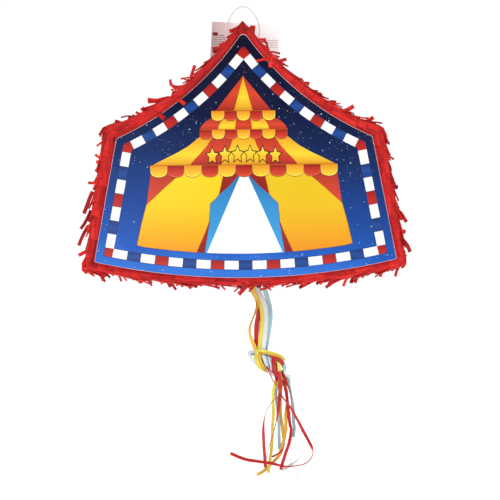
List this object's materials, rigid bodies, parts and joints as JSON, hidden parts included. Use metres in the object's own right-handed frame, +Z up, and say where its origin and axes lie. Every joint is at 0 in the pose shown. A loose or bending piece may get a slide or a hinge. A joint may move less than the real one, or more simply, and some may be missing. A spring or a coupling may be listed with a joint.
{
  "type": "pull-string pinata",
  "caption": "Tent-shaped pull-string party pinata: printed board box with red tissue fringe, a trap door, ribbons and a hanging loop.",
  "frame": {"origin": "top of the hanging string loop, where it hangs on a hook", "axes": "+X to the right seen from the front, the printed front faces -Y, +Z up"},
  "size_m": [0.4824, 0.0847, 0.7183],
  "materials": {
    "board": "matte",
    "kraft_paper": "matte",
    "printed_card": "gloss",
    "tissue": "matte",
    "gummed_patch": "matte",
    "leaflet": "matte",
    "string": "matte",
    "ribbon_red": "gloss",
    "ribbon_yellow": "gloss",
    "ribbon_white": "gloss",
    "ribbon_blue": "gloss",
    "ribbon_mix": "gloss"
  },
  "bodies": {
    "hanging_loop": {"hanging_loop": "string", "loop_knot_right": "string", "loop_knot_left": "string"},
    "shell": {"front_panel": "board", "back_panel": "board", "roof_wall_right": "board", "roof_wall_left": "board", "side_wall_right": "board", "side_wall_left": "board", "base_wall": "board", "peak_tape": "kraft_paper", "eaves_tape_right": "kraft_paper", "eaves_tape_left": "kraft_paper", "base_corner_tape_right": "kraft_paper", "base_corner_tape_left": "kraft_paper", "print_card": "printed_card", "tissue_roof_right": "tissue", "tissue_roof_left": "tissue", "tissue_side_right": "tissue", "tissue_side_left": "tissue", "tissue_base": "tissue", "tissue_front_rim": "tissue", "tissue_back": "tissue", "instruction_card": "leaflet", "loop_washer_right": "kraft_paper", "loop_washer_left": "kraft_paper"},
    "trap_door": {"trap_door": "board", "tissue_door": "tissue", "ribbon_patch": "gummed_patch"},
    "ribbon_bundle": {"ribbon_knot": "ribbon_mix", "ribbon_upper_red_left": "ribbon_red", "ribbon_upper_yellow": "ribbon_yellow", "ribbon_upper_red_right": "ribbon_red", "ribbon_upper_white": "ribbon_white", "ribbon_upper_blue": "ribbon_blue", "ribbon_upper_gold": "ribbon_yellow", "ribbon_tail_red_long": "ribbon_red", "ribbon_tail_red_left": "ribbon_red", "ribbon_tail_red_centre": "ribbon_red", "ribbon_tail_red_inner": "ribbon_red", "ribbon_tail_red_right": "ribbon_red", "ribbon_tail_yellow_left": "ribbon_yellow", "ribbon_tail_yellow_right": "ribbon_yellow", "ribbon_tail_yellow_curl": "ribbon_yellow", "ribbon_tail_blue": "ribbon_blue", "ribbon_tail_blue_right": "ribbon_blue", "ribbon_tail_white_right": "ribbon_white", "ribbon_tail_white_curl": "ribbon_white"},
    "fill_flap": {"fill_flap": "board", "tissue_flap": "tissue"}
  },
  "joints": [
    {"name": "shell_swing", "type": "hinge", "parent": "hanging_loop", "child": "shell", "pos_m": [0, 0, -0.066], "axis": [1, 0, 0], "range_deg": [-30, 30]},
    {"name": "trap_door_drop", "type": "hinge", "parent": "shell", "child": "trap_door", "pos_m": [0, 0.025, -0.41825], "axis": [1, 0, 0], "range_deg": [0, 90]},
    {"name": "ribbon_hang", "type": "hinge", "parent": "trap_door", "child": "ribbon_bundle", "pos_m": [0.02, -0.0085, -0.42755], "axis": [1, 0, 0], "range_deg": [-90, 0]},
    {"name": "fill_flap_lift", "type": "hinge", "parent": "shell", "child": "fill_flap", "pos_m": [0, 0.04, -0.23725], "axis": [1, 0, 0], "range_deg": [0, 120]}
  ],
  "couplings": [
    {"joint": "ribbon_hang", "follows": "trap_door_drop", "ratio": -1}
  ]
}
